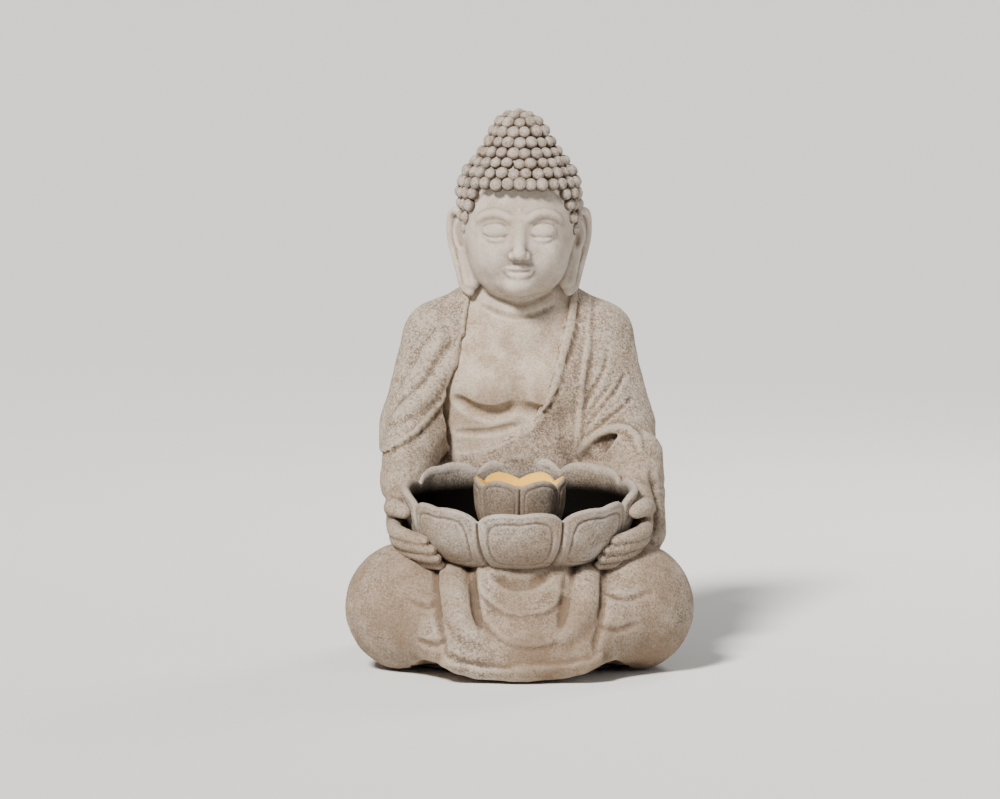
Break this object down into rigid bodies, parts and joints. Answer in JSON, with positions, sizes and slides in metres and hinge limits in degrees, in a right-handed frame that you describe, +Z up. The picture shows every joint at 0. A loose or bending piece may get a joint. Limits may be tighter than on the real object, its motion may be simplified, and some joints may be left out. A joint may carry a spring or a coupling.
{
  "type": "tabletop water fountain",
  "caption": "Seated stone-look figure holding a lotus bowl as the reservoir, with a lit lotus cup over a submersible pump; the cup lifts off.",
  "frame": {"origin": "bottom centre of the whole fountain, on the surface that it stands on", "axes": "+Z up, the figure faces -Y, +X to the viewer's right"},
  "size_m": [0.2798, 0.295, 0.45],
  "materials": {
    "cast_resin": "matte",
    "bowl_resin": "matte",
    "cup_resin": "matte",
    "lamp_plastic": "satin",
    "lamp_lens": "gloss",
    "lamp_glow": "gloss",
    "circuit_board": "satin",
    "black_plastic": "satin",
    "grey_plastic": "satin",
    "black_rubber": "matte",
    "cable_jacket": "satin",
    "lamination_steel": "satin",
    "copper_winding": "satin",
    "potting_resin": "satin",
    "filter_foam": "matte",
    "ferrite": "satin",
    "shaft_ceramic": "gloss",
    "clear_hose": "gloss",
    "screw_steel": "polished"
  },
  "bodies": {
    "root": {"figure_casting": "cast_resin", "lotus_bowl": "bowl_resin", "motor_housing": "black_plastic", "stator_core": "lamination_steel", "stator_coil": "copper_winding", "motor_potting": "potting_resin", "volute": "black_plastic", "strainer": "black_plastic", "foam_filter": "filter_foam", "volute_seal": "black_rubber", "rotor_shaft": "shaft_ceramic", "bush_front": "black_rubber", "bush_rear": "black_rubber", "riser_hose": "clear_hose", "jet_nozzle": "black_plastic", "base_cover": "black_plastic", "cover_screws": "screw_steel", "cord_gland": "black_plastic", "gland_seal": "black_rubber", "gland_nut": "black_plastic", "lead_coupler": "black_plastic", "coupler_collar": "black_plastic", "pump_lead": "cable_jacket", "lead_grommet": "black_rubber", "suction_cup_1": "black_rubber", "foot_1": "black_rubber", "suction_cup_2": "black_rubber", "foot_2": "black_rubber", "suction_cup_3": "black_rubber", "foot_3": "black_rubber", "suction_cup_4": "black_rubber", "foot_4": "black_rubber"},
    "rotor": {"impeller": "grey_plastic", "rotor_magnet": "ferrite"},
    "dial": {"flow_dial": "grey_plastic"},
    "cup": {"lotus_cup": "cup_resin", "ring_housing": "lamp_plastic", "ring_board": "circuit_board", "ring_lens": "lamp_lens", "ring_plug": "black_plastic", "ring_lead": "cable_jacket", "lamp_1": "lamp_glow", "lamp_2": "lamp_glow", "lamp_3": "lamp_glow", "lamp_4": "lamp_glow", "lamp_5": "lamp_glow", "lamp_6": "lamp_glow"}
  },
  "joints": [
    {"name": "rotor_spin", "type": "hinge", "parent": "root", "child": "rotor", "pos_m": [0, -0.05, 0.1165], "axis": [0, 1, 0], "continuous": true},
    {"name": "flow_dial_turn", "type": "hinge", "parent": "root", "child": "dial", "pos_m": [0, -0.071, 0.1165], "axis": [0, -1, 0], "range_deg": [0, 45]},
    {"name": "cup_lift", "type": "slide", "parent": "root", "child": "cup", "axis": [0, 0, 1], "range_m": [0, 0.1]}
  ]
}
